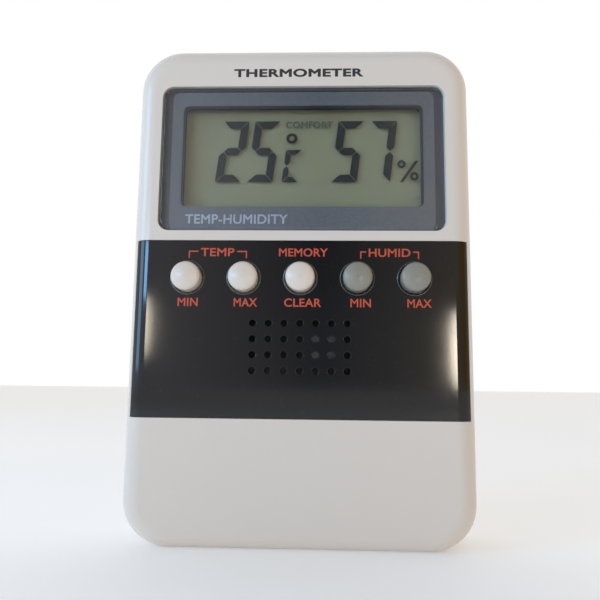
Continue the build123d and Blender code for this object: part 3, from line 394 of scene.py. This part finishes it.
def make_materials():
    """One material for each slot of the record, and the inks and the metal that extra pieces use."""
    white, white_shade, white_dust = (0.748, 0.678, 0.61), (0.728, 0.656, 0.585), (0.5, 0.47, 0.43)
    black, black_shade = (0.0035, 0.0037, 0.0048), (0.0045, 0.0046, 0.006)
    cap_grey, cap_grey_shade = (0.285, 0.275, 0.235), (0.265, 0.255, 0.215)
    return {
        "case_plastic": moulded("case_plastic", white, white_shade, 0.23, 0.02, 0.03, white_dust),
        "band_plastic": moulded("band_plastic", black, black_shade, 0.075, 0.015, 0.04),
        "lens_clear": clear_plastic("lens_clear", (0.96, 0.97, 0.98), 0.015, 1.49),
        "mask_print": printed("mask_print", (0.117, 0.118, 0.121), 0.4),
        # The black gasket round the display window is painted shade along the window's edges; the shadow it
        # casts on the display is real
        "foam_black": moulded("foam_black", (0.02, 0.02, 0.022), (0.03, 0.03, 0.032), 0.9, 0.4),
        "tape_black": moulded("tape_black", (0.028, 0.028, 0.031), (0.036, 0.036, 0.04), 0.6),
        "lcd_film": thin_film("lcd_film", (0.24, 0.26, 0.18), 0.015, 0.4),
        "lcd_glass": thin_film("lcd_glass", (0.5, 0.55, 0.5), 0.005, 0.1),
        "lcd_reflector": reflector("lcd_reflector"),
        "inner_plastic": moulded("inner_plastic", (0.6, 0.59, 0.55), (0.55, 0.54, 0.5), 0.5),
        "zebra_rubber": moulded("zebra_rubber", (0.4, 0.2, 0.2), (0.3, 0.15, 0.15), 0.6),
        "board": board_material("board"),
        "keypad_rubber": moulded("keypad_rubber", (0.45, 0.45, 0.43), (0.4, 0.4, 0.38), 0.65),
        "carbon_rubber": moulded("carbon_rubber", (0.02, 0.02, 0.02), (0.03, 0.03, 0.03), 0.7),
        "screw_steel": metal("screw_steel", (0.55, 0.55, 0.56), 0.32),
        "potting": moulded("potting", (0.012, 0.012, 0.012), (0.02, 0.02, 0.02), 0.3),
        "can_metal": metal("can_metal", (0.7, 0.7, 0.71), 0.3),
        "ceramic_chip": moulded("ceramic_chip", (0.35, 0.26, 0.18), (0.3, 0.22, 0.15), 0.5),
        "sensor_epoxy": moulded("sensor_epoxy", (0.02, 0.02, 0.022), (0.03, 0.03, 0.03), 0.3),
        "sensor_plastic": moulded("sensor_plastic", (0.7, 0.7, 0.68), (0.65, 0.65, 0.62), 0.45),
        "cell": cell_material("cell"),
        "contact_metal": metal("contact_metal", (0.72, 0.7, 0.66), 0.3),
        "wire_red": moulded("wire_red", (0.45, 0.02, 0.02), (0.35, 0.02, 0.02), 0.4),
        "wire_black": moulded("wire_black", (0.015, 0.015, 0.015), (0.03, 0.03, 0.03), 0.4),
        "bail_steel": metal("bail_steel", (0.72, 0.71, 0.69), 0.16, (1, 1, 0.05)),
        "button_white": moulded("button_white", (0.76, 0.68, 0.60), (0.73, 0.65, 0.57), 0.23, 0.02, 0.04),
        "button_grey": moulded("button_grey", cap_grey, cap_grey_shade, 0.23, 0.02, 0.06),
        # The dark metal skin on the button holes' rims is a painted glint: the rims themselves are the
        # band's plastic
        "rim_painted_glint": metal("rim_painted_glint", (0.2, 0.2, 0.21), 0.2),
        "red_ink": printed("red_ink", (0.62, 0.085, 0.04)),
        "dark_ink": printed("dark_ink", (0.03, 0.03, 0.032)),
        "pale_ink": printed("pale_ink", (0.42, 0.44, 0.47)),
        "segment": printed("segment", (0.01, 0.012, 0.014), 0.5, 0.1),
        "faint_segment": printed("faint_segment", (0.13, 0.125, 0.085), 0.5, 0.1),
    }


# ---------------------------------------------------------------- pieces


def finish_piece(piece, body, material):
    """Gives a new piece its material and its body."""
    piece.data.materials.clear()
    piece.data.materials.append(material)
    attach(piece, body)


def prism(name, outlines, front, thickness):
    """Flat shapes standing in the XZ plane: each outline is a list of (x, z), its front at y = front."""
    vertices, faces = [], []
    for outline in outlines:
        start, count = len(vertices), len(outline)
        vertices += [(x, front, z) for x, z in outline]
        vertices += [(x, front + thickness, z) for x, z in outline]
        faces.append([start + n for n in range(count)])
        faces.append([start + count + n for n in reversed(range(count))])
        for n in range(count):
            after = (n + 1) % count
            faces.append([start + after, start + n, start + count + n, start + count + after])
    mesh = bpy.data.meshes.new(name)
    mesh.from_pydata(vertices, [], faces)
    mesh.validate()
    piece = bpy.data.objects.new(name, mesh)
    bpy.context.collection.objects.link(piece)
    return piece


def ring(x, z, outer, inner, sides=40):
    """A ring drawn as four-sided steps, for prism."""
    steps = []
    for n in range(sides):
        first, second = (2 * math.pi * (n + k) / sides for k in (0, 1))
        steps.append(
            [
                (x + outer * math.cos(first), z + outer * math.sin(first)),
                (x + outer * math.cos(second), z + outer * math.sin(second)),
                (x + inner * math.cos(second), z + inner * math.sin(second)),
                (x + inner * math.cos(first), z + inner * math.sin(first)),
            ]
        )
    return steps


def word(name, text, middle, width, height, weight, front, thickness, facing_back=False):
    """Plain upright capitals fitted to a box around middle = (x, z), as a thin solid."""
    curve = bpy.data.curves.new(name, "FONT")
    curve.body = text
    curve.bevel_depth = weight
    curve.bevel_resolution = 1
    curve.space_character = 1 + 2 * weight
    curve.resolution_u = 6
    holder = bpy.data.objects.new(name, curve)
    mesh = bpy.data.meshes.new_from_object(holder)
    bpy.data.objects.remove(holder)
    bpy.data.curves.remove(curve)
    xs = [v.co.x for v in mesh.vertices]
    ys = [v.co.y for v in mesh.vertices]
    wide, tall = max(xs) - min(xs), max(ys) - min(ys)
    side = -1 if facing_back else 1
    for v in mesh.vertices:
        x = (v.co.x - (max(xs) + min(xs)) / 2) * width / wide
        z = (v.co.y - (max(ys) + min(ys)) / 2) * height / tall
        depth = (0.5 - v.co.z / (2 * weight)) * thickness
        v.co = (middle[0] + side * x, front + side * depth, middle[1] + z)
    mesh.name = name
    piece = bpy.data.objects.new(name, mesh)
    bpy.context.collection.objects.link(piece)
    return piece


def add_band_legends(inks):
    """The orange legends above and below the buttons, and the brackets that group them."""
    front = BAND_FACE - INK
    rows = ((UPPER_WORDS, UPPER_WORD_Z), (LOWER_WORDS, LOWER_WORD_Z))
    for words, z in rows:
        for number, (text, x, width) in enumerate(words):
            name = f"legend_{text.lower()}_{number}"
            place = (x * MM, z)
            piece = word(name, text, place, width * MM, LETTER_H, LEGEND_WEIGHT, front, INK)
            finish_piece(piece, "case", inks["red_ink"])
    strokes = []
    for left, right, word_x, word_w in BRACKET_GROUPS:
        for outer, side in ((left, -1), (right, 1)):
            arm_end = (word_x + side * (word_w / 2 + BRACKET_GAP)) * MM
            strokes += bracket(outer * MM, arm_end, side)
    piece = prism("legend_brackets", strokes, front, INK)
    finish_piece(piece, "case", inks["red_ink"])


def bracket(outer, arm_end, side):
    """One corner bracket: a level arm from arm_end to outer, and a leg down from it."""
    top = BRACKET_TOP_Z
    inner = outer - side * STROKE
    arm = [(arm_end, top), (arm_end, top - STROKE), (inner, top - STROKE), (inner, top)]
    leg = [(inner, top), (inner, top - BRACKET_DROP), (outer, top - BRACKET_DROP), (outer, top)]
    if side > 0:
        arm.reverse()
        return [arm, leg]
    leg.reverse()
    return [arm, leg]


def box_outline(x, z, half_w, half_h):
    """A rectangle around (x, z), for prism."""
    left, right, low, top = x - half_w, x + half_w, z - half_h, z + half_h
    return [(left, low), (right, low), (right, top), (left, top)]


def add_unit_marks(plastic):
    """The raised unit letters above the slider: Celsius where it rests, Fahrenheit where it slides to."""
    low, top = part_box("unit_switch")
    joints = frame["record"]["behaviour"]["joints"]
    slide = next(joint for joint in joints if joint["name"] == "unit_slide")
    middle = (low[0] + top[0] + slide["range_m"][1]) / 2
    z = (low[2] + top[2]) / 2 + UNIT_MARK_RISE + UNIT_MARK_H / 2
    face, thickness = BACK_FACE + MARK_PROUD, MARK_PROUD + MARK_ROOT
    for name, text, side in (("mark_celsius", "\u00b0C", -1), ("mark_fahrenheit", "\u00b0F", 1)):
        place = (middle + side * UNIT_MARK_APART, z)
        mark = word(name, text, place, UNIT_MARK_W, UNIT_MARK_H, MARK_WEIGHT, face, thickness, True)
        finish_piece(mark, "case", plastic)


def add_door_marks(plastic):
    """The raised arrow on the battery door, and the plus and minus signs on its inside."""
    low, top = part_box("battery_door")
    x, z = (low[0] + top[0]) / 2, low[2] + ARROW_RISE
    outer = top[1] - MARK_ROOT
    triangle = [(x - ARROW_SIZE, z), (x + ARROW_SIZE, z), (x, z + ARROW_H)]
    arrow = prism("mark_door_arrow", [triangle], outer, MARK_PROUD + MARK_ROOT)
    finish_piece(arrow, "battery_door", plastic)
    stub = (POLE_HALF - POLE_STROKE / 2) / 2
    reach = POLE_STROKE / 2 + stub
    plus_x, minus_x = top[0] - POLE_INSET, low[0] + POLE_INSET
    signs = [box_outline(place, z, POLE_HALF, POLE_STROKE / 2) for place in (plus_x, minus_x)]
    signs += [box_outline(plus_x, z + side * reach, POLE_STROKE / 2, stub) for side in (-1, 1)]
    inner = top[1] - DOOR_T - MARK_PROUD
    poles = prism("mark_polarity", signs, inner, MARK_PROUD + MARK_ROOT)
    finish_piece(poles, "battery_door", plastic)


def rim_profile():
    """The section of a rim as (radius, depth behind the band's face): a thin skin over the rounded edge."""
    points = []
    for skin, steps in ((RIM_SKIN, range(RIM_STEPS + 1)), (-RIM_SKIN, range(RIM_STEPS, -1, -1))):
        for n in steps:
            turn = math.pi / 2 * n / RIM_STEPS
            reach = RIM_ROUND + skin
            radius = HOLE_R + RIM_ROUND - reach * math.sin(turn)
            depth = RIM_ROUND - reach * math.cos(turn)
            points.append((radius, depth))
    return points


def rim_mesh(name, x, z):
    """A rim's section turned round the middle of its hole, (x, z)."""
    profile = rim_profile()
    count = len(profile)
    vertices, faces = [], []
    for side in range(RIM_SIDES):
        turn = 2 * math.pi * side / RIM_SIDES
        here, after = side * count, (side + 1) % RIM_SIDES * count
        for radius, depth in profile:
            place = (x + radius * math.cos(turn), BAND_FACE + depth, z + radius * math.sin(turn))
            vertices.append(place)
        for n in range(count):
            m = (n + 1) % count
            faces.append([here + n, after + n, after + m, here + m])
    mesh = bpy.data.meshes.new(name)
    mesh.from_pydata(vertices, [], faces)
    mesh.polygons.foreach_set("use_smooth", [True] * len(faces))
    return mesh


def add_button_rims(painted_glint):
    """A thin dark metal skin over each button hole's rounded rim, as a painted glint."""
    for button in BUTTONS:
        name = f"rim_{button}"
        low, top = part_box(f"button_{button}")
        mesh = rim_mesh(name, (low[0] + top[0]) / 2, (low[2] + top[2]) / 2)
        rim = bpy.data.objects.new(name, mesh)
        bpy.context.collection.objects.link(rim)
        finish_piece(rim, "case", painted_glint)


def level_bar(width, z, t, place):
    """One level bar of a figure, t thick, as (x, z) points: its ends are cut at 45 degrees."""
    g = SEGMENT_GAP
    if place == "top":
        return [(g, z), (width - g, z), (width - t - g, z - t), (t + g, z - t)]
    if place == "bottom":
        return [(t + g, z + t), (width - t - g, z + t), (width - g, z), (g, z)]
    half = t / 2
    return [
        (half + g, z), (t + g, z + half), (width - t - g, z + half),
        (width - half - g, z), (width - t - g, z - half), (t + g, z - half),
    ]


def upright_bar(width, low, top, t, right, upper):
    """One upright bar of a figure: its outer end is cut at 45 degrees, its end at the middle is a point."""
    g = SEGMENT_GAP
    if upper:
        shoulder = low + t / 2 + g
        points = [(0, shoulder), (0, top - g), (t, top - t - g), (t, shoulder), (t / 2, low + g)]
    else:
        shoulder = top - t / 2 - g
        points = [(0, low + g), (0, shoulder), (t / 2, top - g), (t, shoulder), (t, low + t + g)]
    if right:
        points = [(width - x, z) for x, z in reversed(points)]
    return points


def bars(base_x, base_z, width, height, t, lit):
    """The outlines of a figure's lit bars, leaning, as lists of (x, z)."""
    half = height / 2
    shapes = {
        "a": level_bar(width, height, t, "top"),
        "g": level_bar(width, half, t, "middle"),
        "d": level_bar(width, 0, t, "bottom"),
        "f": upright_bar(width, half, height, t, False, True),
        "b": upright_bar(width, half, height, t, True, True),
        "e": upright_bar(width, 0, half, t, False, False),
        "c": upright_bar(width, 0, half, t, True, False),
    }
    return [[(base_x + x + z * LEAN, base_z + z) for x, z in shapes[bar]] for bar in lit]


def add_display_figures(inks):
    """The reading: two leaning figures for temperature, two for humidity, and their unit signs."""
    front = (FRONT_GLASS_BACK + REAR_GLASS_FACE - SEGMENT_SHEET) / 2
    outlines = []
    for figure, x in READOUT:
        outlines += bars(x * MM, DIGIT_BASE_Z, DIGIT_W, DIGIT_H, SEGMENT_T, FIGURE_BARS[figure])
    outlines += bars(UNIT_X, DIGIT_BASE_Z, UNIT_W, UNIT_H, UNIT_T, FIGURE_BARS["C"])
    for sizes in (DEGREE, *PERCENT_RINGS):
        outlines += ring(*(size * MM for size in sizes))
    outlines.append([(x * MM, z * MM) for x, z in PERCENT_BAR])
    piece = prism("display_reading", outlines, front, SEGMENT_SHEET)
    finish_piece(piece, "case", inks["segment"])
    faint = word("display_comfort", *COMFORT_WORD, front, SEGMENT_SHEET)
    finish_piece(faint, "case", inks["faint_segment"])


def add_window_prints(inks):
    """The pale words on the window's border, and the dark word on the case above it."""
    words = word("window_words", *WINDOW_WORDS, MASK_FACE - INK, MASK_INK)
    finish_piece(words, "case", inks["pale_ink"])
    title = word("case_title", *TITLE, CASE_FACE - INK, INK)
    finish_piece(title, "case", inks["dark_ink"])


def set_cad_materials(materials):
    """Puts each slot's material on the CAD nodes that the record gives it to."""
    for part in frame["record"]["subparts"]:
        for slot in NODES[part["node"]].material_slots:
            slot.material = materials[part["material_slot"]]


# ---------------------------------------------------------------- room, lamps, camera


def add_floor():
    """A plain pale floor, wide enough for every view."""
    bpy.ops.mesh.primitive_plane_add(size=FLOOR_SIZE, location=(0, 0, 0))
    floor = bpy.context.object
    floor.name = "floor"
    material, tree, shader = new_material("floor", FLOOR_PALE, 0.7)
    shader.inputs["Emission Color"].default_value = (1, 1, 1, 1)
    shader.inputs["Emission Strength"].default_value = FLOOR_GLOW
    shade = remap(tree, object_noise(tree, FLOOR_MOTTLE, 4.0), 0.3, 0.7, 0, 1)
    tint = blend_colours(tree, shade, FLOOR_PALE, FLOOR_SHADE)
    tree.links.new(tint, shader.inputs["Base Color"])
    floor.data.materials.append(material)


def add_lamp(name, bearing, height, size, radiance, shape):
    """A lamp that the camera doesn't see, aimed at the middle of the object, as LAMPS describes it."""
    turn, climb = math.radians(bearing), math.radians(height)
    level = math.cos(climb)
    away = Vector((-math.sin(turn) * level, -math.cos(turn) * level, math.sin(climb)))
    light = bpy.data.lights.new(name, "AREA")
    light.shape = shape
    light.size, light.size_y = size
    strength = max(radiance)
    light.color = [part / strength for part in radiance]
    light.energy = strength * math.pi * light.size * light.size_y
    lamp = bpy.data.objects.new(name, light)
    lamp.location = MIDDLE + away * LAMP_AWAY
    lamp.rotation_euler = (-away).to_track_quat("-Z", "Y").to_euler()
    lamp.visible_camera = False
    bpy.context.collection.objects.link(lamp)


def add_lamps():
    """A broad window and a bright pane on the left, and a low warm lamp on each side of the front."""
    for lamp in LAMPS:
        add_lamp(*lamp)


def add_room_light():
    """Pale light all round: cool on the left, warm on the right, dim above and where the viewer is."""
    world = bpy.data.worlds.new("room")
    world.use_nodes = True
    tree = world.node_tree
    place = tree.nodes.new("ShaderNodeTexCoord")
    split = tree.nodes.new("ShaderNodeSeparateXYZ")
    tree.links.new(place.outputs["Generated"], split.inputs["Vector"])
    across = remap(tree, split.outputs["X"], -0.9, 0.9, 0, 1)
    light = blend_colours(tree, across, ROOM_LEFT, ROOM_RIGHT)
    above = remap(tree, split.outputs["Z"], 0.35, 0.8, 0, 1)
    light = blend_colours(tree, above, light, ROOM_ABOVE)
    aside = tree.nodes.new("ShaderNodeMath")
    aside.operation = "ABSOLUTE"
    tree.links.new(split.outputs["X"], aside.inputs[0])
    viewer = remap(tree, aside.outputs["Value"], 0.0, 0.25, 1, 0)
    height = remap(tree, split.outputs["Z"], 0.08, 0.35, 0, 1)
    figure = blend_colours(tree, height, VIEWER_LOW, VIEWER_HIGH)
    light = blend_colours(tree, viewer, light, figure)
    behind = remap(tree, split.outputs["Y"], -0.3, 0.3, 0, 1)
    light = blend_colours(tree, behind, light, ROOM_BEHIND)
    rays = tree.nodes.new("ShaderNodeLightPath")
    seen = blend_colours(tree, rays.outputs["Is Camera Ray"], light, BACKDROP)
    tree.links.new(seen, tree.nodes["Background"].inputs["Color"])
    bpy.context.scene.world = world
    bpy.context.scene.view_settings.view_transform = "Standard"
    bpy.context.scene.cycles.transparent_max_bounces = CLEAR_LAYERS


def add_camera():
    """The camera, held as for the close-up."""
    camera = bpy.data.objects.new("camera", bpy.data.cameras.new("camera"))
    camera.data.lens = CAMERA_LENS
    camera.data.sensor_width = CAMERA_SENSOR
    camera.data.clip_start = CAMERA_NEAR
    look = (CAMERA_AIM - CAMERA_AT).to_track_quat("-Z", "Y").to_matrix().to_4x4()
    roll = Matrix.Rotation(CAMERA_ROLL, 4, "Z")
    camera.matrix_world = Matrix.Translation(CAMERA_AT) @ look @ roll
    bpy.context.collection.objects.link(camera)
    bpy.context.scene.camera = camera


materials = make_materials()
set_cad_materials(materials)
add_band_legends(materials)
add_button_rims(materials["rim_painted_glint"])
add_unit_marks(materials["case_plastic"])
add_door_marks(materials["case_plastic"])
add_display_figures(materials)
add_window_prints(materials)
add_floor()
add_lamps()
add_room_light()
add_camera()
